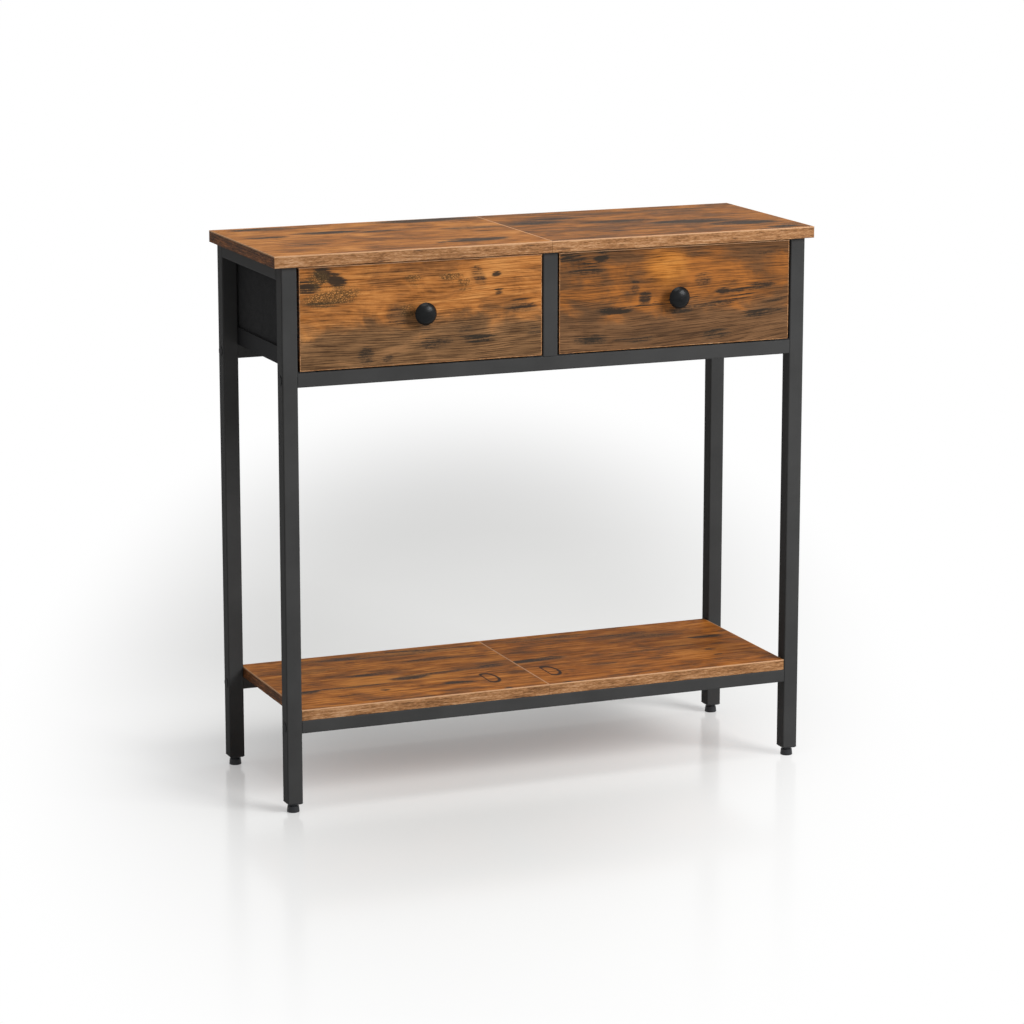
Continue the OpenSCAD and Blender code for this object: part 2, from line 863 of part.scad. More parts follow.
// Points on the knob's outline: foot, neck, flare, rim and crown, as [radius, distance out]
rim_r = 1.6;
rim_drop = 0.9;
crown_in = 1.2;
crown_angle = 20;
rim_out = knob_reach - knob_crown;
flare_out = rim_out - rim_drop - rim_r;
neck_out = flare_out / 2;
neck_in = (knob_foot_d - knob_neck_d) / 2;
flare_r = knob_d / 2 - crown_in;
arc_steps = 8;
function arc(cx, cy, rx, ry, a0, a1) = [
    for (i = [0:arc_steps])
        let (a = a0 + (a1 - a0) * i / arc_steps)
        [cx + rx * cos(a), cy + ry * sin(a)]
];
knob_outline = concat(
    [[0, 0]],
    arc(knob_foot_d / 2, neck_out, neck_in, neck_out, 270, 180),
    arc(flare_r, neck_out, flare_r - knob_neck_d / 2, flare_out - neck_out, 180, 90),
    arc(knob_d / 2 - rim_r, rim_out - rim_drop, rim_r, rim_r, -90, crown_angle),
    arc(0, rim_out, knob_d / 2 - crown_in, knob_crown, crown_angle, 90)
);

module knob(sx) {
    color(PLASTIC)
        on_side(sx)
            translate([front_mid_x, frame_front, front_mid_z])
                rotate([90, 0, 0])
                    difference() {
                        rotate_extrude()
                            polygon(knob_outline);
                        translate([0, 0, -cut])
                            cylinder(d = knob_screw_d + 2 * hole_clear, h = knob_bore + cut);
                    }
}

// Knob screw, with its head sunk in the back of the front, and the four box screws
module drawer_screws(sx) {
    color(ZINC)
        on_side(sx) {
            translate([front_mid_x, box_y0 - knob_screw_head_h, front_mid_z])
                rod_y(knob_screw_head_d, knob_screw_head_h);
            translate([front_mid_x, frame_front - knob_screw_reach, front_mid_z])
                rod_y(knob_screw_d, knob_screw_reach + front_t - knob_screw_head_h / 2);
            for (p = box_screws) {
                translate([p[0], box_y0 + fabric_t + panel_t, p[1]])
                    rod_y(screw_head_d, screw_head_h);
                translate([p[0], box_y0 - box_screw_l + hole_clear, p[1]])
                    rod_y(screw_d, box_screw_l + fabric_t + panel_t + screw_head_h / 2);
            }
        }
}

top_board(LEFT);  // top_board_left
top_board(RIGHT);  // top_board_right
top_edging(LEFT);  // top_edging_left
top_edging(RIGHT);  // top_edging_right
shelf_board(LEFT);  // shelf_board_left
shelf_board(RIGHT);  // shelf_board_right
shelf_edging(LEFT);  // shelf_edging_left
shelf_edging(RIGHT);  // shelf_edging_right
leg(LEFT, FRONT);  // leg_front_left
leg(RIGHT, FRONT);  // leg_front_right
leg(LEFT, REAR);  // leg_rear_left
leg(RIGHT, REAR);  // leg_rear_right
side_rail(LEFT);  // side_rail_left
side_rail(RIGHT);  // side_rail_right
centre_top_rail();
centre_post(FRONT);  // centre_post_front
centre_post(REAR);  // centre_post_rear
upper_rail(FRONT);  // upper_rail_front
upper_rail(REAR);  // upper_rail_rear
lower_rail(FRONT);  // lower_rail_front
lower_rail(REAR);  // lower_rail_rear
shelf_batten();
runner_outer(LEFT);  // runner_left
runner_outer(RIGHT);  // runner_right
runner_centre();
leg_plug(LEFT, FRONT);  // leg_plug_front_left
leg_plug(RIGHT, FRONT);  // leg_plug_front_right
leg_plug(LEFT, REAR);  // leg_plug_rear_left
leg_plug(RIGHT, REAR);  // leg_plug_rear_right
foot_pad(LEFT, FRONT);  // foot_pad_front_left
foot_pad(RIGHT, FRONT);  // foot_pad_front_right
foot_pad(LEFT, REAR);  // foot_pad_rear_left
foot_pad(RIGHT, REAR);  // foot_pad_rear_right
foot_stud(LEFT, FRONT);  // foot_stud_front_left
foot_stud(RIGHT, FRONT);  // foot_stud_front_right
foot_stud(LEFT, REAR);  // foot_stud_rear_left
foot_stud(RIGHT, REAR);  // foot_stud_rear_right
frame_bolts();
bolt_caps();
threaded_inserts();
board_screws();
runner_screws();
seam_dowels();
drawer_front(LEFT);  // drawer_front_left
drawer_front(RIGHT);  // drawer_front_right
drawer_edging(LEFT);  // drawer_edging_left
drawer_edging(RIGHT);  // drawer_edging_right
fabric_box(LEFT);  // fabric_box_left
fabric_box(RIGHT);  // fabric_box_right
box_bottom(LEFT);  // box_bottom_left
box_bottom(RIGHT);  // box_bottom_right
box_panels(LEFT);  // box_panels_left
box_panels(RIGHT);  // box_panels_right
knob(LEFT);  // knob_left
knob(RIGHT);  // knob_right
drawer_screws(LEFT);  // drawer_screws_left
drawer_screws(RIGHT);  // drawer_screws_right
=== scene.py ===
"""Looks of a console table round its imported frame: materials, sewn fabric boxes, floor, light and camera."""

import math

import bmesh
import bpy
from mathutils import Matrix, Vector, noise


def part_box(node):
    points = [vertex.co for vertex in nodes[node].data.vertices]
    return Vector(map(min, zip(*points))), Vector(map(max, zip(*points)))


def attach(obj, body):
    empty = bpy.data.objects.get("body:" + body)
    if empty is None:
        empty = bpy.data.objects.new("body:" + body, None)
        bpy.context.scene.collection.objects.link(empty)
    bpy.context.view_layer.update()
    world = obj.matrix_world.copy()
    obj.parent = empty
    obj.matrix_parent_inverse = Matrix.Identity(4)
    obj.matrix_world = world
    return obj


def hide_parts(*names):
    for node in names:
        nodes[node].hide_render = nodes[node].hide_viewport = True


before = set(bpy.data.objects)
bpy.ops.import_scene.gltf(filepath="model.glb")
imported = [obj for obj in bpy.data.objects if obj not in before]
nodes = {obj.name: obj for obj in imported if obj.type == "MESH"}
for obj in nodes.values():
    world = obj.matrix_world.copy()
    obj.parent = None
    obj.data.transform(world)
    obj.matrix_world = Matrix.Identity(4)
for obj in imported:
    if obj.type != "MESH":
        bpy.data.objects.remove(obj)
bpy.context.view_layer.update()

scene = bpy.context.scene

# ---- Camera: the photograph's viewing angle ----

CAM_PLACE = (-1.921, -4.661, 1.447)
CAM_YAW = math.radians(22.35)
CAM_PITCH = math.radians(12.09)
CAM_LENS = 127.44
CAM_SENSOR = 36
CAM_FAR = 60


def aim(obj, place, direction):
    """Puts a camera or a lamp at place, looking along direction."""
    obj.location = place
    obj.rotation_mode = "QUATERNION"
    obj.rotation_quaternion = direction.to_track_quat("-Z", "Y")
    scene.collection.objects.link(obj)


cam_data = bpy.data.cameras.new("camera")
cam_data.lens = CAM_LENS
cam_data.sensor_width = CAM_SENSOR
cam_data.clip_end = CAM_FAR
camera = bpy.data.objects.new("camera", cam_data)
level_run = math.cos(CAM_PITCH)
forward = Vector((math.sin(CAM_YAW) * level_run, math.cos(CAM_YAW) * level_run, -math.sin(CAM_PITCH)))
aim(camera, CAM_PLACE, forward)
scene.camera = camera
scene.view_settings.view_transform = "Standard"


# ---- Node helpers ----


def linear(hex_colour):
    """Linear RGBA of an sRGB hex colour."""
    out = []
    for i in (0, 2, 4):
        c = int(hex_colour[i : i + 2], 16) / 255
        out.append(c / 12.92 if c <= 0.04045 else ((c + 0.055) / 1.055) ** 2.4)
    return (*out, 1.0)


class Net:
    """A material's node tree, with short calls that make and join nodes."""

    def __init__(self, name):
        self.mat = bpy.data.materials.new(name)
        self.mat.use_nodes = True
        self.tree = self.mat.node_tree
        self.tree.nodes.clear()
        self.out = self.tree.nodes.new("ShaderNodeOutputMaterial")
        self.shader = self.tree.nodes.new("ShaderNodeBsdfPrincipled")
        self.join(self.shader.outputs[0], self.out.inputs["Surface"])

    def node(self, kind, **settings):
        """A new node of a kind, with its own settings."""
        made = self.tree.nodes.new(kind)
        for key, value in settings.items():
            setattr(made, key, value)
        return made

    def join(self, a, b):
        self.tree.links.new(a, b)

    def put(self, socket, value):
        """Gives an input a fixed value, or joins another node's output to it."""
        if isinstance(value, bpy.types.NodeSocket):
            self.join(value, socket)
        else:
            socket.default_value = value

    def coords(self):
        return self.node("ShaderNodeTexCoord").outputs["Object"]

    def place(self, vector, move=(0, 0, 0), scale=(1, 1, 1), turn=(0, 0, 0)):
        m = self.node("ShaderNodeMapping")
        self.join(vector, m.inputs["Vector"])
        m.inputs["Location"].default_value = move
        m.inputs["Scale"].default_value = scale
        m.inputs["Rotation"].default_value = turn
        return m.outputs[0]

    def math(self, op, a, b=0.0, clamp=False):
        m = self.node("ShaderNodeMath", operation=op, use_clamp=clamp)
        self.put(m.inputs[0], a)
        self.put(m.inputs[1], b)
        return m.outputs[0]

    def noise(self, vector, scale, detail=4.0, rough=0.5, warp=0.0):
        n = self.node("ShaderNodeTexNoise")
        self.join(vector, n.inputs["Vector"])
        n.inputs["Scale"].default_value = scale
        n.inputs["Detail"].default_value = detail
        n.inputs["Roughness"].default_value = rough
        n.inputs["Distortion"].default_value = warp
        return n.outputs[0]

    def span(self, value, low, high, to_low=0.0, to_high=1.0, smooth=False):
        """The value's place between low and high, turned into to_low to to_high and held there."""
        m = self.node("ShaderNodeMapRange", clamp=True)
        if smooth:
            m.interpolation_type = "SMOOTHSTEP"
        self.put(m.inputs["Value"], value)
        for key, number in (
            ("From Min", low),
            ("From Max", high),
            ("To Min", to_low),
            ("To Max", to_high),
        ):
            m.inputs[key].default_value = number
        return m.outputs["Result"]

    def ramp(self, value, stops):
        """Colour at a value, from stops of (place, sRGB hex colour)."""
        r = self.node("ShaderNodeValToRGB")
        self.put(r.inputs["Fac"], value)
        band = r.color_ramp
        band.elements[0].position, band.elements[0].color = stops[0][0], linear(stops[0][1])
        band.elements[1].position, band.elements[1].color = stops[-1][0], linear(stops[-1][1])
        for place, colour in stops[1:-1]:
            band.elements.new(place).color = linear(colour)
        return r.outputs["Color"]

    def mix(self, share, a, b):
        """Colour a, turned into b by share. Each is an output or an sRGB hex colour."""
        m = self.node("ShaderNodeMix", data_type="RGBA", blend_type="MIX")
        self.put(m.inputs["Factor"], share)
        colours = [socket for socket in m.inputs if socket.type == "RGBA"]
        for socket, value in zip(colours, (a, b)):
            self.put(socket, linear(value) if isinstance(value, str) else value)
        return next(socket for socket in m.outputs if socket.type == "RGBA")

    def bump(self, height, strength, distance):
        b = self.node("ShaderNodeBump")
        b.inputs["Strength"].default_value = strength
        b.inputs["Distance"].default_value = distance
        self.put(b.inputs["Height"], height)
        return b.outputs[0]

    def split(self, vector):
        s = self.node("ShaderNodeSeparateXYZ")
        self.join(vector, s.inputs[0])
        return s.outputs

    def combine(self, x, y, z):
        c = self.node("ShaderNodeCombineXYZ")
        for socket, value in zip(c.inputs, (x, y, z)):
            self.put(socket, value)
        return c.outputs[0]

    def length(self, vector):
        found = self.node("ShaderNodeVectorMath", operation="LENGTH")
        self.join(vector, found.inputs[0])
        return found.outputs["Value"]

    def finish(self, **values):
        """Sets the shader's inputs, named with _ for a space, and gives the material."""
        for key, value in values.items():
            self.put(self.shader.inputs[key.replace("_", " ")], value)
        return self.mat


# Where a mark's soft edge starts and ends, as shares of its own size
MARK_EDGE = 1.3
MARK_CORE = 0.4
# A mark has no depth: this stretches its third axis until it counts for nothing
FLAT = 1e6


def own_frame(net, at, mark):
    """Coordinates inside an elongated mark, which is 1 from its middle to its ends and to its sides."""
    x, y, half_x, half_y, tilt, _ = mark
    m = net.node("ShaderNodeMapping", vector_type="TEXTURE")
    net.join(at, m.inputs["Vector"])
    m.inputs["Location"].default_value = (x, y, 0)
    m.inputs["Rotation"].default_value = (0, 0, math.radians(tilt))
    m.inputs["Scale"].default_value = (half_x, half_y, FLAT)
    return m.outputs[0]


def patch(net, at, mark):
    """How strongly a mark covers a place: 0 outside, its own strength in the middle, soft between."""
    far = net.length(own_frame(net, at, mark))
    return net.span(far, MARK_EDGE, MARK_CORE, 0.0, mark[-1], smooth=True)


def patches(net, at, marks):
    """The strongest of several marks at each place."""
    found = 0.0
    for mark in marks:
        found = net.math("MAXIMUM", patch(net, at, mark), found)
    return found


def centred(net, value, gain):
    """A noise about its middle of 0.5, times gain."""
    return net.math("MULTIPLY", net.math("SUBTRACT", value, 0.5), gain)


def stained(net, colour, at, marks, cloud, streak, lines, speck):
    """Dark stains on a colour: brown round the edge, then charcoal that breaks up along the grain."""
    cover = patches(net, at, marks)
    uneven = net.math("MULTIPLY", centred(net, cloud, 0.9), net.span(cover, 0.02, 0.3))
    cover = net.math("ADD", cover, uneven)
    colour = net.mix(net.span(cover, 0.05, 0.7, 0.0, 0.42, smooth=True), colour, "54402f")
    broken = net.math("SUBTRACT", cover, centred(net, lines, 2.0))
    broken = net.math("SUBTRACT", broken, centred(net, streak, 1.6))
    broken = net.math("SUBTRACT", broken, centred(net, speck, 1.1))
    charcoal = net.math("MULTIPLY", net.span(broken, 0.3, 0.86, smooth=True), net.span(cover, 0.06, 0.3))
    return net.mix(net.math("MULTIPLY", charcoal, 0.9), colour, "2a2621")


def crackled(net, colour, at, stain_at, places, speck):
    """Crackled paint on a colour: a pale yellowish skin with a fine dark net. Also gives the net itself."""
    cells = net.node("ShaderNodeTexVoronoi", feature="DISTANCE_TO_EDGE")
    net.join(net.place(at, scale=(280, 420, 60)), cells.inputs["Vector"])
    cells.inputs["Scale"].default_value = 1.0
    there = patches(net, stain_at, places)
    uneven = net.math("MULTIPLY", centred(net, speck, 1.6), net.span(there, 0.0, 0.3))
    there = net.math("ADD", there, uneven)
    colour = net.mix(net.span(there, 0.2, 0.8, 0.0, 0.26), colour, "a88250")
    cracks = net.span(cells.outputs["Distance"], 0.26, 0.06)
    split = net.math("MULTIPLY", cracks, net.span(there, 0.15, 0.7))
    return net.mix(net.math("MULTIPLY", split, 0.8), colour, "33271a"), split


def knotted(net, colour, at, rings, cloud):
    """Knots with a bold dark outline, flat on their left side."""
    found = 0.0
    for mark in rings:
        a, b, _ = net.split(own_frame(net, at, mark))
        squares = net.math("ADD", net.math("MULTIPLY", a, a), net.math("MULTIPLY", b, b))
        round_part = net.math("SQRT", squares)
        flat_part = net.math("MULTIPLY", a, -1.8)
        far = net.math("ADD", net.math("MAXIMUM", round_part, flat_part), centred(net, cloud, 0.22))
        off_line = net.math("ABSOLUTE", net.math("SUBTRACT", far, 1.0))
        outline = net.span(off_line, 0.26, 0.08, smooth=True)
        found = net.math("MAXIMUM", net.math("MULTIPLY", outline, mark[-1]), found)
    return net.mix(found, colour, "2a190e")


def bent_grain(net, at, u, v, sweep):
    """Where a place lies across the grain, which waves slowly and on some boards fans upward to the right."""
    wave = net.noise(net.place(at, scale=(2.6, 8, 3)), 1.0, 2.0)
    bent = net.math("ADD", v, centred(net, wave, 0.035))
    if not sweep:
        return bent
    lean = net.math("MAXIMUM", net.math("ADD", u, 0.1), 0.0)
    lean = net.math("MULTIPLY", net.math("MULTIPLY", lean, lean), sweep)
    low_half = net.span(v, 0.03, -0.015, smooth=True)
    return net.math("SUBTRACT", bent, net.math("MULTIPLY", lean, low_half))


def wood(
    name, across, shift, tones, marks,
    worn=None, crackle=(), rings=(), bright=(), sweep=0.0, aged=0.45, fine=1.0, dense=1.0,
):
    """Rustic board with its grain along X. across is "Y" or "Z", the way that the board is wide.

    marks, crackle, bright and rings are (x, across, half length, half width, tilt in degrees, strength),
    in metres from the board's own middle. tones are its dark, middle and light colours, and worn holds the
    tones of a greyer lower half. fine is how closely the grain lines lie, and dense is how dark they are.
    """
    net = Net(name)
    x, y, z = net.split(net.coords())
    u = net.math("SUBTRACT", x, shift[0])
    v = net.math("SUBTRACT", y if across == "Y" else z, shift[1])
    w = net.math("ADD", z if across == "Y" else y, shift[2])
    at = net.combine(u, v, w)
    grain_at = net.combine(u, bent_grain(net, at, u, v, sweep), w)
    lines = net.noise(net.place(grain_at, scale=(17, 680 * fine, 30)), 1.0, 3.0, 0.66)
    fibre = net.noise(net.place(grain_at, scale=(60, 900 * fine, 60)), 1.0, 3.0, 0.7)
    streak = net.noise(net.place(grain_at, scale=(11, 250 * fine, 20)), 1.0, 4.0, 0.62, 0.2)
    band = net.noise(net.place(grain_at, scale=(5, 38, 8)), 1.0, 4.0, 0.6, 0.6)
    cloud = net.noise(net.place(at, scale=(14, 24, 9)), 1.0, 5.0, 0.62, 0.6)
    speck = net.noise(net.place(at, scale=(230, 330, 90)), 1.0, 3.0, 0.7)

    tone = net.math("ADD", centred(net, band, 0.5), centred(net, streak, 0.5))
    tone = net.math("ADD", tone, centred(net, lines, 0.8))
    tone = net.math("ADD", tone, centred(net, cloud, 0.7))
    tone = net.math("ADD", tone, 0.5)

    def body(three):
        return net.ramp(tone, [(0.3, three[0]), (0.5, three[1]), (0.7, three[2])])

    colour = body(tones)
    # greyed brown weathering in clouds along the grain, and all over a worn lower half
    weather = net.math("ADD", net.math("MULTIPLY", cloud, 0.6), net.math("MULTIPLY", band, 0.4))
    age = net.span(weather, 0.54, 0.40, smooth=True)
    if worn:
        low = net.span(net.math("ADD", v, centred(net, cloud, 0.12)), 0.012, -0.03, smooth=True)
        colour = net.mix(low, colour, body(worn))
        age = net.math("MAXIMUM", age, net.math("MULTIPLY", low, 0.85))
    colour = net.mix(net.math("MULTIPLY", age, aged), colour, "644a34")
    if bright:
        amber = net.ramp(tone, [(0.3, "9a5c22"), (0.5, "b8732e"), (0.7, "c98740")])
        colour = net.mix(patches(net, at, bright), colour, amber)
    # hair-thin dark lines along the grain, more of them where the board is worn
    hair = net.math("ADD", lines, centred(net, fibre, 0.35))
    hair = net.span(hair, 0.5, 0.37)
    hair = net.math("MULTIPLY", hair, net.span(age, 0, 1, 0.38 * dense, 0.85 * dense))
    colour = net.mix(hair, colour, "3a281b")
    stain_at = net.combine(u, net.math("ADD", v, centred(net, streak, 0.03)), w)
    colour = stained(net, colour, stain_at, marks, cloud, streak, lines, speck)
    height = net.math("SUBTRACT", net.math("MULTIPLY", lines, 0.7), net.math("MULTIPLY", hair, 0.5))
    if crackle:
        colour, split = crackled(net, colour, at, stain_at, crackle, speck)
        height = net.math("SUBTRACT", height, net.math("MULTIPLY", split, 0.6))
    if rings:
        colour = knotted(net, colour, at, rings, cloud)
    return net.finish(
        Base_Color=colour,
        Roughness=net.span(fibre, 0.3, 0.7, 0.66, 0.54),
        Normal=net.bump(height, 0.3, 0.0005),
        Specular_IOR_Level=0.05,
    )


def edging(name, top_z):
    """Edge banding: fine short flecks along its run, a painted highlight along the arris just under top_z and
    on faces that point up or down, and painted shade on the end strips.
    """
    # rim is the pale tone of a painted highlight, laid on the arris and on faces that point up or down
    rim = "cfa27c"
    net = Net(name)
    x, y, z = net.split(net.coords())
    nx, _, nz = net.split(net.node("ShaderNodeNewGeometry").outputs["True Normal"])
    end = net.math("GREATER_THAN", net.math("ABSOLUTE", nx), 0.5)
    along_front = net.math("MULTIPLY", x, net.math("SUBTRACT", 1.0, end))
    run = net.math("ADD", along_front, net.math("MULTIPLY", y, end))
    at = net.combine(run, z, net.math("MULTIPLY", end, 3.0))
    fleck = net.noise(net.place(at, scale=(150, 900, 1)), 1.0, 4.0, 0.7)
    line = net.noise(net.place(at, scale=(34, 420, 1)), 1.0, 4.0, 0.62)
    wide = net.noise(net.place(at, scale=(14, 60, 1)), 1.0, 3.0, 0.6)
    tone = net.math("ADD", centred(net, fleck, 0.8), centred(net, line, 0.75))
    tone = net.math("ADD", net.math("ADD", tone, centred(net, wide, 0.45)), 0.5)
    colour = net.ramp(tone, [(0.3, "5f4029"), (0.42, "80593a"), (0.52, "9d7049"), (0.7, "bd9470")])
    # short slate dashes here and there
    dash = net.math("MULTIPLY", net.span(line, 0.42, 0.33), net.span(wide, 0.5, 0.4))
    colour = net.mix(net.math("MULTIPLY", dash, 0.6), colour, "4b4540")
    # the ends of the boards carry a redder strip, darkened with painted shade, picked by the way that the face
    # points
    end_shade_tone = net.ramp(tone, [(0.3, "1c120d"), (0.45, "3f2617"), (0.58, "6a3f22"), (0.72, "a3622f")])
    colour = net.mix(net.math("MULTIPLY", end, 0.9), colour, end_shade_tone)
    # painted highlight: a pale line just under the top edge, where the rounded arris catches the light
    arris_highlight_mask = net.span(z, top_z - 0.0021, top_z - 0.0009)
    arris_highlight = net.math("MULTIPLY", arris_highlight_mask, net.span(fleck, 0.3, 0.5, 0.55, 0.95))
    colour = net.mix(arris_highlight, colour, rim)
    # painted highlight: faces that point up or down take the pale rim tone
    top = net.math("GREATER_THAN", net.math("ABSOLUTE", nz), 0.5)
    colour = net.mix(top, colour, net.mix(net.span(line, 0.35, 0.65), rim, "b98a60"))
    return net.finish(
        Base_Color=colour,
        Roughness=net.span(fleck, 0.3, 0.7, 0.66, 0.54),
        Normal=net.bump(fleck, 0.3, 0.0004),
        Specular_IOR_Level=0.05,
    )


def powder_coat(name, colour="3b3b3b", second="404040"):
    """Matt powder coat on steel: orange peel, faint cloudiness, and small rubbed specks."""
    net = Net(name)
    at = net.coords()
    peel = net.noise(at, 900, 2.0, 0.5)
    cloud = net.noise(at, 14, 3.0, 0.6)
    rub = net.noise(at, 160, 4.0, 0.75)
    tint = net.mix(net.span(cloud, 0.35, 0.65), colour, second)
    tint = net.mix(net.span(rub, 0.66, 0.76, 0.0, 0.5), tint, "525253")
    rough = net.math("ADD", net.span(cloud, 0.3, 0.7, 0.58, 0.68), net.span(peel, 0.3, 0.7, -0.03, 0.03))
    return net.finish(
        Base_Color=tint,
        Roughness=rough,
        Normal=net.bump(peel, 0.12, 0.0002),
        Specular_IOR_Level=0.03,
    )


def non_woven(name, base="171718", pale="282829"):
    """Non-woven fabric: matted fibres, pressed dots and a faint sheen."""
    net = Net(name)
    at = net.coords()
    fibres = net.noise(at, 750, 5.0, 0.75, 1.2)
    matted = net.noise(at, 70, 5.0, 0.7, 0.8)
    dots = net.node("ShaderNodeTexVoronoi", feature="F1")
    net.join(at, dots.inputs["Vector"])
    dots.inputs["Scale"].default_value = 420
    dots.inputs["Randomness"].default_value = 0.25
    pressed = net.span(dots.outputs["Distance"], 0.18, 0.36)
    tone = net.math("ADD", net.math("MULTIPLY", fibres, 0.5), net.math("MULTIPLY", matted, 0.5))
    colour = net.mix(net.span(tone, 0.4, 0.62), base, pale)
    colour = net.mix(net.math("SUBTRACT", 1.0, pressed), colour, "111112")
    height = net.math("ADD", net.math("MULTIPLY", fibres, 0.5), net.math("MULTIPLY", pressed, 0.5))
    return net.finish(
        Base_Color=colour,
        Roughness=net.span(fibres, 0.3, 0.7, 0.85, 0.95),
        Normal=net.bump(height, 0.5, 0.0006),
        Sheen_Weight=0.03,
        Sheen_Roughness=0.6,
        Specular_IOR_Level=0.08,
    )


def moulded(name, colour, second, low, high, grain, shine):
    """Moulded or lacquered black: fine texture, faint flow marks, uneven gloss."""
    net = Net(name)
    at = net.coords()
    fine = net.noise(at, grain, 4.0, 0.6)
    flow = net.noise(net.place(at, scale=(1, 1, 3)), 55, 3.0, 0.6, 0.6)
    return net.finish(
        Base_Color=net.mix(net.span(flow, 0.35, 0.65), colour, second),
        Roughness=net.span(flow, 0.3, 0.7, low, high),
        Normal=net.bump(fine, 0.08, 0.0003),
        Specular_IOR_Level=shine,
    )


def plated(name):
    """Zinc plate: metallic, with fine turning marks and dull patches."""
    net = Net(name)
    at = net.coords()
    turned = net.noise(net.place(at, scale=(1, 1, 8)), 300, 3.0, 0.6)
    dull = net.noise(at, 90, 3.0, 0.6)
    return net.finish(
        Base_Color=net.mix(net.span(dull, 0.35, 0.65), "9fa2a5", "c3c5c6"),
        Metallic=1.0,
        Roughness=net.span(turned, 0.3, 0.7, 0.28, 0.44),
        Normal=net.bump(turned, 0.1, 0.0002),
    )


def fibreboard(name):
    """Thin grey-brown fibreboard, pressed from short chips."""
    net = Net(name)
    at = net.coords()
    chips = net.noise(at, 340, 5.0, 0.75, 1.0)
    cloud = net.noise(at, 22, 3.0, 0.6)
    tone = net.math("ADD", net.math("MULTIPLY", chips, 0.65), net.math("MULTIPLY", cloud, 0.35))
    return net.finish(
        Base_Color=net.ramp(tone, [(0.35, "5f5040"), (0.5, "8a7963"), (0.65, "a39179")]),
        Roughness=net.span(chips, 0.3, 0.7, 0.8, 0.92),
        Normal=net.bump(chips, 0.35, 0.0005),
    )


def birch(name):
    """Turned birch dowel with its grain along X."""
    net = Net(name)
    line = net.noise(net.place(net.coords(), scale=(30, 600, 600)), 1.0, 4.0, 0.6)
    return net.finish(
        Base_Color=net.ramp(line, [(0.35, "b99866"), (0.5, "d4b985"), (0.65, "e4cda0")]),
        Roughness=net.span(line, 0.3, 0.7, 0.6, 0.75),
        Normal=net.bump(line, 0.2, 0.0004),
    )


# ---- Materials on the CAD nodes ----

# Marks are (x, across, half length, half width, tilt, strength), from each board's own middle
TOP_LEFT = [
    (-0.054, 0.057, 0.055, 0.015, 0, 1.2), (0.020, 0.045, 0.050, 0.010, 2, 0.9),
    (-0.152, 0.037, 0.034, 0.008, 0, 1.0), (0.109, -0.088, 0.055, 0.018, 2, 1.1),
    (0.120, 0.128, 0.100, 0.018, 0, 1.1), (0.055, -0.100, 0.010, 0.006, 0, 0.9),
    (-0.120, -0.050, 0.040, 0.008, 0, 0.6), (0.150, 0.030, 0.060, 0.016, 0, 0.65),
    (-0.130, 0.120, 0.060, 0.014, 0, 0.8),
]
TOP_RIGHT = [
    (-0.150, 0.040, 0.050, 0.020, 0, 1.0), (-0.040, 0.015, 0.070, 0.016, 0, 0.85),
    (-0.104, 0.072, 0.060, 0.014, 0, 0.8), (0.062, -0.027, 0.080, 0.022, -2, 0.85),
    (0.126, -0.066, 0.060, 0.022, -2, 0.95), (0.164, -0.120, 0.030, 0.012, 0, 0.9),
    (-0.079, -0.078, 0.030, 0.007, 0, 1.0), (0.040, 0.100, 0.120, 0.016, 0, 0.5),
    (-0.080, 0.115, 0.090, 0.010, 0, 0.5),
]
SHELF_LEFT = [
    (0.015, -0.025, 0.032, 0.012, 0, 1.0), (0.095, -0.012, 0.090, 0.009, 3, 0.75),
    (0.144, -0.004, 0.026, 0.011, 0, 0.9), (0.073, -0.077, 0.030, 0.010, 0, 1.0),
    (-0.146, -0.050, 0.024, 0.009, 0, 0.85), (-0.080, -0.045, 0.080, 0.007, 0, 0.6),
    (-0.040, -0.073, 0.009, 0.006, 0, 0.95), (0.123, -0.132, 0.008, 0.006, 0, 0.9),
    (-0.030, 0.010, 0.070, 0.010, 2, 0.55), (0.020, 0.110, 0.170, 0.018, 0, 0.55),
    (-0.100, 0.060, 0.060, 0.014, 0, 0.45), (0.080, 0.060, 0.080, 0.014, 2, 0.5),
]
SHELF_RIGHT = [
    (-0.150, -0.002, 0.060, 0.009, 3, 0.9), (-0.122, 0.002, 0.028, 0.011, 0, 0.9),
    (-0.155, -0.132, 0.009, 0.006, 0, 0.9), (0.142, 0.035, 0.032, 0.012, 0, 0.8),
    (0.064, 0.067, 0.060, 0.018, 0, 0.6), (0.020, 0.085, 0.070, 0.016, 0, 0.55),
    (0.111, -0.039, 0.012, 0.006, 0, 0.8), (0.110, -0.069, 0.010, 0.005, 0, 0.8),
    (-0.067, -0.056, 0.030, 0.009, 2, 0.6), (-0.090, 0.110, 0.090, 0.014, 0, 0.5),
    (0.020, -0.010, 0.090, 0.008, 2, 0.5),
]
DRAWER_LEFT = [
    (-0.142, 0.060, 0.016, 0.013, -30, 1.0), (-0.124, 0.050, 0.018, 0.011, -25, 1.0),
    (-0.164, 0.043, 0.020, 0.009, -3, 1.0), (-0.140, 0.021, 0.036, 0.005, 2, 0.75),
    (0.109, 0.047, 0.008, 0.0045, 8, 1.0), (0.112, 0.023, 0.007, 0.004, 5, 1.0),
    (0.082, 0.044, 0.012, 0.020, 24, 0.5), (-0.032, -0.004, 0.024, 0.020, 0, 0.42),
    (0.081, -0.040, 0.030, 0.008, 0, 0.75), (0.063, -0.027, 0.018, 0.007, 0, 0.6),
    (0.165, -0.036, 0.014, 0.007, 0, 0.7), (-0.082, -0.054, 0.014, 0.016, 0, 0.62),
    (-0.050, -0.060, 0.010, 0.006, 0, 0.7), (0.144, -0.001, 0.028, 0.009, 0, 0.55),
    (0.020, -0.043, 0.030, 0.010, 0, 0.55), (0.005, -0.016, 0.014, 0.010, 0, 0.5),
]
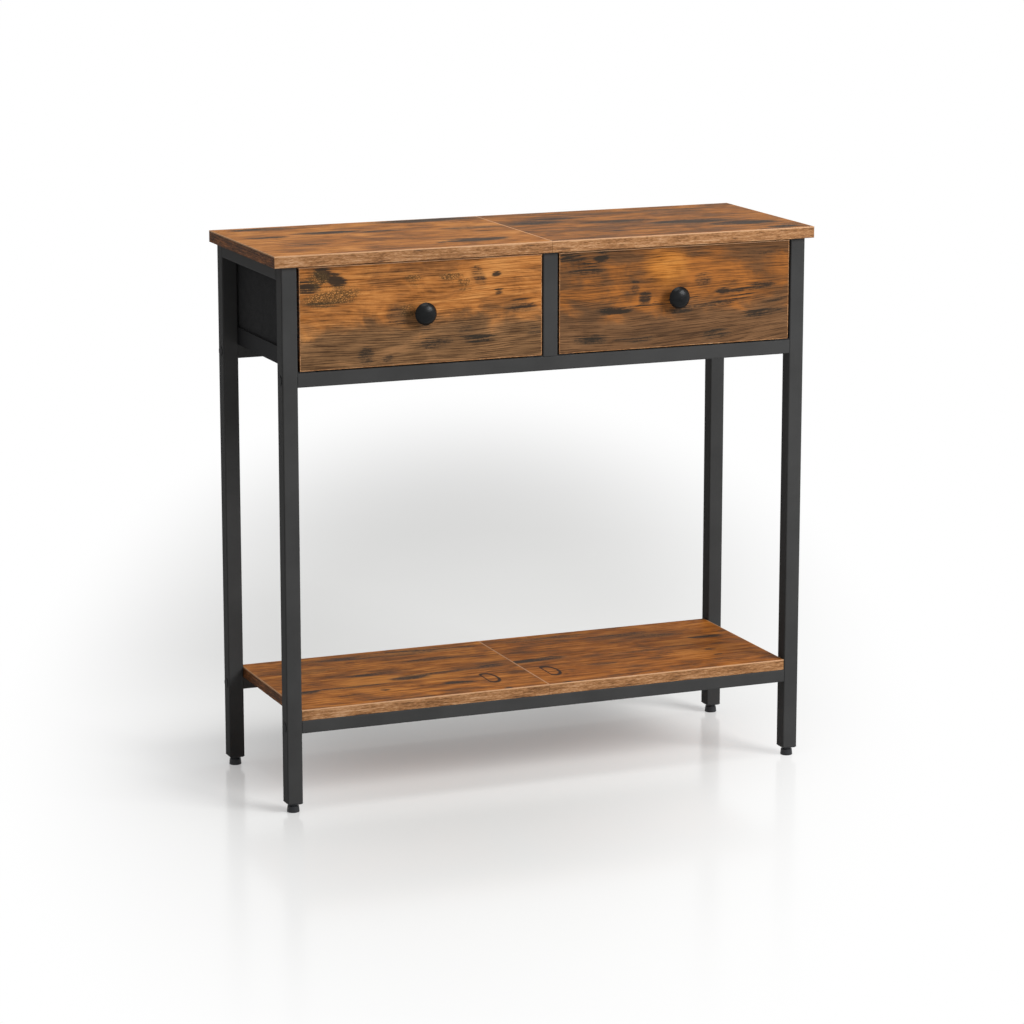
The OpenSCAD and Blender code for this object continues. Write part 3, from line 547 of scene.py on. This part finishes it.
DRAWER_LEFT_CRACKLE = [
    (-0.130, 0.028, 0.044, 0.012, 6, 1.0), (-0.148, 0.052, 0.018, 0.014, 0, 0.7),
    (-0.012, 0.048, 0.014, 0.008, 0, 0.62), (0.042, 0.047, 0.018, 0.009, 0, 0.72),
    (0.062, 0.036, 0.012, 0.010, 0, 0.55), (-0.020, 0.004, 0.014, 0.014, 0, 0.5),
]
DRAWER_RIGHT = [
    (-0.158, 0.060, 0.028, 0.006, 1, 1.0), (-0.112, 0.060, 0.014, 0.009, 20, 1.0),
    (0.074, 0.004, 0.014, 0.006, 4, 1.0), (0.118, 0.006, 0.044, 0.004, 5, 0.8),
    (-0.062, 0.014, 0.009, 0.010, 0, 0.6), (-0.046, 0.000, 0.010, 0.012, -35, 0.7),
    (-0.093, -0.015, 0.032, 0.006, 0, 0.85), (0.008, -0.020, 0.022, 0.007, 0, 0.7),
    (0.043, 0.022, 0.016, 0.012, 0, 0.55), (0.063, -0.056, 0.026, 0.007, 3, 0.75),
    (-0.127, -0.054, 0.030, 0.007, 0, 0.7), (0.138, -0.030, 0.040, 0.006, 5, 0.7),
    (-0.135, 0.042, 0.036, 0.010, 0, 0.6), (-0.020, -0.008, 0.060, 0.003, 3, 0.8),
    (0.070, -0.012, 0.060, 0.003, 6, 0.75), (0.130, 0.055, 0.036, 0.009, 0, 0.45),
    (-0.060, -0.056, 0.040, 0.006, 2, 0.55), (0.160, -0.010, 0.030, 0.005, 6, 0.55),
]


def board_shift(node, across, seed):
    """What turns the table's coordinates into the board's own, with its own slice of the grain."""
    low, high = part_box(node)
    middle = (low + high) / 2
    return (middle.x, middle.y if across == "Y" else middle.z, seed)


looks = {}
for node, across, seed, tones, marks, more in (
    (
        "top_board_left", "Y", 0.7, ("7a481b", "ac6c31", "ca8b4c"), TOP_LEFT,
        {"aged": 0.34, "fine": 0.42, "dense": 0.85},
    ),
    (
        "top_board_right", "Y", 2.9, ("62391a", "8d592c", "b4763c"), TOP_RIGHT,
        {"aged": 0.55, "fine": 0.42, "dense": 0.9},
    ),
    (
        "shelf_board_left", "Y", 4.3, ("6c3a0c", "ab6527", "cf873f"), SHELF_LEFT,
        {"rings": [(0.119, -0.069, 0.012, 0.024, 0, 1.0)], "aged": 0.35, "fine": 0.4, "dense": 0.6},
    ),
    (
        "shelf_board_right", "Y", 6.1, ("6a390c", "a15c1f", "c47d3a"), SHELF_RIGHT,
        {"rings": [(-0.153, -0.065, 0.012, 0.024, 0, 1.0)], "aged": 0.4, "fine": 0.4, "dense": 0.6},
    ),
    (
        "drawer_front_left", "Z", 1.3, ("7d4a1d", "a86a35", "c4864a"), DRAWER_LEFT,
        {"worn": ("583d25", "7c5b3c", "a87a50"), "crackle": DRAWER_LEFT_CRACKLE},
    ),
    (
        "drawer_front_right", "Z", 8.2, ("57371d", "805029", "a66730"), DRAWER_RIGHT,
        {
            "worn": ("463020", "6b4a2f", "8b6443"),
            "bright": [(-0.014, 0.044, 0.034, 0.030, 0, 0.75)],
            "sweep": 0.24,
            "aged": 0.55,
        },
    ),
):
    looks[node] = wood("wood_" + node, across, board_shift(node, across, seed), tones, marks, **more)

bands = {
    kind + "_edging": edging(kind + "_edge_banding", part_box(kind + "_edging_left")[1].z)
    for kind in ("top", "shelf", "drawer")
}
steel = powder_coat("frame_powder_coat")
runner_steel = powder_coat("runner_coat", "212122", "29292a")
fabric = non_woven("box_non_woven")
plastic = moulded("black_plastic", "1b1c1e", "26272a", 0.34, 0.48, 260, 0.3)
lacquer = moulded("black_lacquer", "0d0e0f", "141516", 0.26, 0.34, 400, 0.13)
cap_plastic = moulded("cap_plastic", "222223", "2a2a2b", 0.5, 0.62, 320, 0.04)
zinc = plated("zinc_plate")
panel = fibreboard("fibre_panel")
dowel = birch("birch")

BY_PREFIX = (
    (("top_edging",), bands["top_edging"]),
    (("shelf_edging",), bands["shelf_edging"]),
    (("drawer_edging",), bands["drawer_edging"]),
    (("runner_left", "runner_right", "runner_centre"), runner_steel),
    (("bolt_caps",), cap_plastic),
    (("leg_plug", "foot_pad"), plastic),
    (("leg_", "side_rail", "centre_", "upper_rail", "lower_rail", "shelf_batten"), steel),
    (("knob",), lacquer),
    (("foot_stud", "frame_bolts", "threaded_inserts"), zinc),
    (("board_screws", "runner_screws", "drawer_screws"), zinc),
    (("box_bottom", "box_panels"), panel),
    (("seam_dowels",), dowel),
    (("fabric_box",), fabric),
)
for name, obj in nodes.items():
    material = looks.get(name) or next(m for prefixes, m in BY_PREFIX if name.startswith(prefixes))
    obj.data.materials.clear()
    obj.data.materials.append(material)


# ---- Sewn fabric boxes ----

# In metres: the mesh's step, the round corners, how thick each cloth is and how far inside the fabric box's
# outline it lies, how far below the rim things end, and the thread and its stitches
STEP = 0.006
CORNER = 0.0022
CORNER_STEPS = 3
CLOTH = 0.0011
CLOTH_IN = 0.0003
LINING = 0.0006
LINING_IN = 0.0048
SKIN_DROP = 0.0012
LINING_SAG = -0.0009
LINING_SEED = 5
STITCH_DROP = 0.0155
STITCH_OUT = 0.0003
PITCH = 0.0042
STITCH = 0.003
THREAD = 0.00035
# Sections as (out, up) from the rim, in metres, and as shares of the thread's thickness
HEM = [
    (0.0002, -0.018), (0.0003, -0.009), (0.0003, -0.0022), (-0.0004, -0.0008), (-0.0018, 0.0),
    (-0.0036, 0.0), (-0.0052, -0.0008), (-0.0060, -0.0022), (-0.0060, -0.012), (-0.0052, -0.012),
    (-0.0050, -0.0028), (-0.0012, -0.0028), (-0.0006, -0.018),
]
THREAD_SECTION = ((1, 0), (0, 1), (-0.4, 0), (0, -1))
# Places along a stitch, and the thread's thickness there
STITCH_SHAPE = ((-0.5, 0.3), (-0.3, 1.0), (0.3, 1.0), (0.5, 0.3))


def add_mesh(name, bm, material):
    """A new object in the scene from a finished bmesh, with one material."""
    mesh = bpy.data.meshes.new(name)
    bm.to_mesh(mesh)
    bm.free()
    obj = bpy.data.objects.new(name, mesh)
    scene.collection.objects.link(obj)
    mesh.materials.append(material)
    return obj


def wall_loop(x0, x1, y0, y1, per_side):
    """Points of a rectangle with round corners, each with its outward normal and its share along its side."""
    out = []
    corners = ((x1, y0, -90), (x1, y1, 0), (x0, y1, 90), (x0, y0, 180))

    def centre(x, y):
        """Middle of the round corner at x, y."""
        return Vector((x - CORNER if x == x1 else x + CORNER, y - CORNER if y == y1 else y + CORNER, 0))

    def outward(degrees):
        a = math.radians(degrees)
        return Vector((math.cos(a), math.sin(a), 0))

    for i, (cx, cy, start) in enumerate(corners):
        for k in range(CORNER_STEPS + 1):
            n = outward(start + 90 * k / CORNER_STEPS)
            out.append((centre(cx, cy) + n * CORNER, n, 0.0))
        nx, ny, next_start = corners[(i + 1) % 4]
        n = outward(next_start)
        first, last = out[-1][0], centre(nx, ny) + n * CORNER
        pieces = per_side[i % 2]
        for k in range(1, pieces):
            t = k / pieces
            out.append((first.lerp(last, t), n, math.sin(math.pi * t)))
    return out


def sewn_skin(name, low, high, inset, seed, sag):
    """One sewn skin of a fabric box: four walls and a floor, open at the top.

    sag is how far a wall may hollow between its seams.
    """
    x0, x1, y0, y1 = low.x + inset, high.x - inset, low.y + inset, high.y - inset
    z0, z1 = low.z + inset, high.z
    loop = wall_loop(x0, x1, y0, y1, (round((y1 - y0) / STEP), round((x1 - x0) / STEP)))
    rows = round((z1 - z0) / STEP)
    bm = bmesh.new()
    rings = []
    for j in range(rows + 1):
        t = j / rows
        z = z0 + (z1 - z0) * t
        ring = []
        for p, n, along in loop:
            # the cloth lies against its panel at the seams and hollows or wrinkles a little between them
            hollow = sag * along * math.sin(math.pi * t)
            wave = noise.noise(Vector((p.x * 16, p.y * 16, z * 22 + seed))) * 0.5 + 0.5
            crease = noise.noise(Vector((p.x * 45 + seed, p.y * 45, z * 30))) * 0.5 + 0.5
            depth = hollow * (0.35 + 0.4 * wave + 0.25 * crease)
            ring.append(bm.verts.new((p.x - n.x * depth, p.y - n.y * depth, z)))
        rings.append(ring)
    count = len(loop)
    for a, b in zip(rings, rings[1:]):
        for i in range(count):
            bm.faces.new((a[i], a[(i + 1) % count], b[(i + 1) % count], b[i]))
    bottom = bm.faces.new(list(reversed(rings[0])))
    bmesh.ops.triangulate(bm, faces=[bottom])
    bm.normal_update()
    obj = add_mesh(name, bm, fabric)
    for p in obj.data.polygons:
        p.use_smooth = len(p.vertices) == 4
    return obj


def swept_band(name, loop, section, material):
    """A closed strip with the given section, as (out, up) pairs, swept round a loop of (point, normal)."""
    bm = bmesh.new()
    rings = []
    for p, n in loop:
        rings.append([bm.verts.new((p.x + n.x * o, p.y + n.y * o, p.z + u)) for o, u in section])
    size = len(section)
    for i, a in enumerate(rings):
        b = rings[(i + 1) % len(rings)]
        for k in range(size):
            bm.faces.new((a[k], b[k], b[(k + 1) % size], a[(k + 1) % size]))
    bmesh.ops.recalc_face_normals(bm, faces=bm.faces)
    obj = add_mesh(name, bm, material)
    for p in obj.data.polygons:
        p.use_smooth = True
    return obj


def add_stitch(bm, centre, along, outward):
    """One short thread stitch, thin at both ends."""
    ends = []
    for s, wide in STITCH_SHAPE:
        at = centre + along * STITCH * s
        ends.append(
            [
                bm.verts.new(at + outward * THREAD * wide * u + Vector((0, 0, THREAD * wide * v)))
                for u, v in THREAD_SECTION
            ]
        )
    for e, f in zip(ends, ends[1:]):
        for k in range(4):
            bm.faces.new((e[k], f[k], f[(k + 1) % 4], e[(k + 1) % 4]))
    bm.faces.new(ends[0])
    bm.faces.new(list(reversed(ends[-1])))


def stitches(name, loop, z, material):
    """Short thread stitches laid end to end round a loop of (point, normal), at the height z."""
    bm = bmesh.new()
    travel, place = 0.0, 0.0
    for (a, a_out), (b, b_out) in zip(loop, loop[1:] + loop[:1]):
        length = (b - a).length
        while place < travel + length:
            t = (place - travel) / length
            p = a.lerp(b, t)
            n = a_out.lerp(b_out, t).normalized()
            add_stitch(bm, Vector((p.x, p.y, z)) + n * STITCH_OUT, (b - a).normalized(), n)
            place += PITCH
        travel += length
    bmesh.ops.recalc_face_normals(bm, faces=bm.faces)
    return add_mesh(name, bm, material)


thread = non_woven("sewing_thread", "2a2a2c", "48484b")
for side, seed in (("left", 3.0), ("right", 11.0)):
    node = "fabric_box_" + side
    body = "drawer_" + side
    low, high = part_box(node)
    size = high - low
    top = high - Vector((0, 0, SKIN_DROP))
    outer = sewn_skin("fabric_outer_" + side, low, top, CLOTH_IN, seed, 0.0)
    inner = sewn_skin("fabric_lining_" + side, low, top, LINING_IN, seed + LINING_SEED, LINING_SAG)
    for skin, gauge in ((outer, CLOTH), (inner, LINING)):
        thick = skin.modifiers.new("thickness", "SOLIDIFY")
        thick.thickness = gauge
        thick.offset = -1
    loop = wall_loop(
        low.x + CLOTH_IN, high.x - CLOTH_IN, low.y + CLOTH_IN, high.y - CLOTH_IN,
        (round(size.y / STEP), round(size.x / STEP)),
    )
    rim = [(Vector((p.x, p.y, high.z)), n) for p, n, along in loop]
    hem_piece = swept_band("fabric_hem_" + side, rim, HEM, fabric)
    sewing = stitches("fabric_stitches_" + side, rim, high.z - STITCH_DROP, thread)
    for piece in (outer, inner, hem_piece, sewing):
        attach(piece, body)
    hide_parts(node)


# ---- Floor, backdrop and light ----


def seen_directly(tree):
    """1 for camera, glossy and transmission rays, 0 for the rays that light the object."""
    path = tree.nodes.new("ShaderNodeLightPath")
    found = path.outputs["Is Camera Ray"]
    for name in ("Is Glossy Ray", "Is Transmission Ray"):
        m = tree.nodes.new("ShaderNodeMath")
        m.operation = "MAXIMUM"
        tree.links.new(found, m.inputs[0])
        tree.links.new(path.outputs[name], m.inputs[1])
        found = m.outputs[0]
    return found


floor_net = Net("studio_floor")
floor_at = floor_net.coords()
floor_tone = floor_net.noise(floor_at, 2.0, 2.0)
floor_net.finish(
    Base_Color=floor_net.mix(floor_net.span(floor_tone, 0.3, 0.7), "f1f1ef", "f4f4f2"),
    Roughness=0.16,
    Specular_IOR_Level=0.45,
)
# the pale floor turns into a white backdrop away from the table, so that it has no visible end. The ellipse is
# stretched out behind the table, so that the lit floor inside it paints a soft grey pool of shade there, round
# the floor's real shadow: an ellipse on the floor as (x, y, half width, half length, tilt), with where it
# starts and ends to turn white
SHADE_POOL = (0.22, 0.75, 0.75, 2.35, -22, 1.0)
SHADE_POOL_START, SHADE_POOL_END = 0.3, 0.98
WHITE_AT_START = 0.03
fx, fy, _ = floor_net.split(floor_at)
away = floor_net.length(own_frame(floor_net, floor_net.combine(fx, fy, 0.0), SHADE_POOL))
far_share = floor_net.span(away, SHADE_POOL_START, SHADE_POOL_END, WHITE_AT_START, 1.0, smooth=True)
shown = floor_net.math("MULTIPLY", far_share, seen_directly(floor_net.tree))
glow = floor_net.node("ShaderNodeEmission")
glow.inputs["Color"].default_value = (1, 1, 1, 1)
glow.inputs["Strength"].default_value = 1.0
blend = floor_net.node("ShaderNodeMixShader")
floor_net.join(shown, blend.inputs[0])
floor_net.join(floor_net.shader.outputs[0], blend.inputs[1])
floor_net.join(glow.outputs[0], blend.inputs[2])
floor_net.join(blend.outputs[0], floor_net.out.inputs["Surface"])

FLOOR_HALF = 30.0
FLOOR_CORNERS = ((-1, -1), (1, -1), (1, 1), (-1, 1))
bm = bmesh.new()
bm.faces.new([bm.verts.new((sx * FLOOR_HALF, sy * FLOOR_HALF, 0)) for sx, sy in FLOOR_CORNERS])
floor = add_mesh("studio_floor", bm, floor_net.mat)

WORLD_LIGHT = 0.2
world = bpy.data.worlds.new("studio")
scene.world = world
world.use_nodes = True
sky = world.node_tree.nodes["Background"]
sky.inputs["Color"].default_value = (1, 1, 1, 1)
level = world.node_tree.nodes.new("ShaderNodeMapRange")
level.inputs["To Min"].default_value = WORLD_LIGHT
level.inputs["To Max"].default_value = 1.0
world.node_tree.links.new(seen_directly(world.node_tree), level.inputs["Value"])
world.node_tree.links.new(level.outputs["Result"], sky.inputs["Strength"])


LAMP_TARGET = Vector((0, 0, 0.4))


def lamp(name, place, size, power):
    """A soft rectangular lamp that points at the middle of the table."""
    data = bpy.data.lights.new(name, "AREA")
    data.shape = "RECTANGLE"
    data.size, data.size_y = size
    data.energy = power
    aim(bpy.data.objects.new(name, data), place, LAMP_TARGET - Vector(place))


lamp("key", (2.2, -3.0, 2.5), (2.0, 1.7), 165)
lamp("top", (0.1, -0.3, 3.2), (1.8, 1.4), 30)
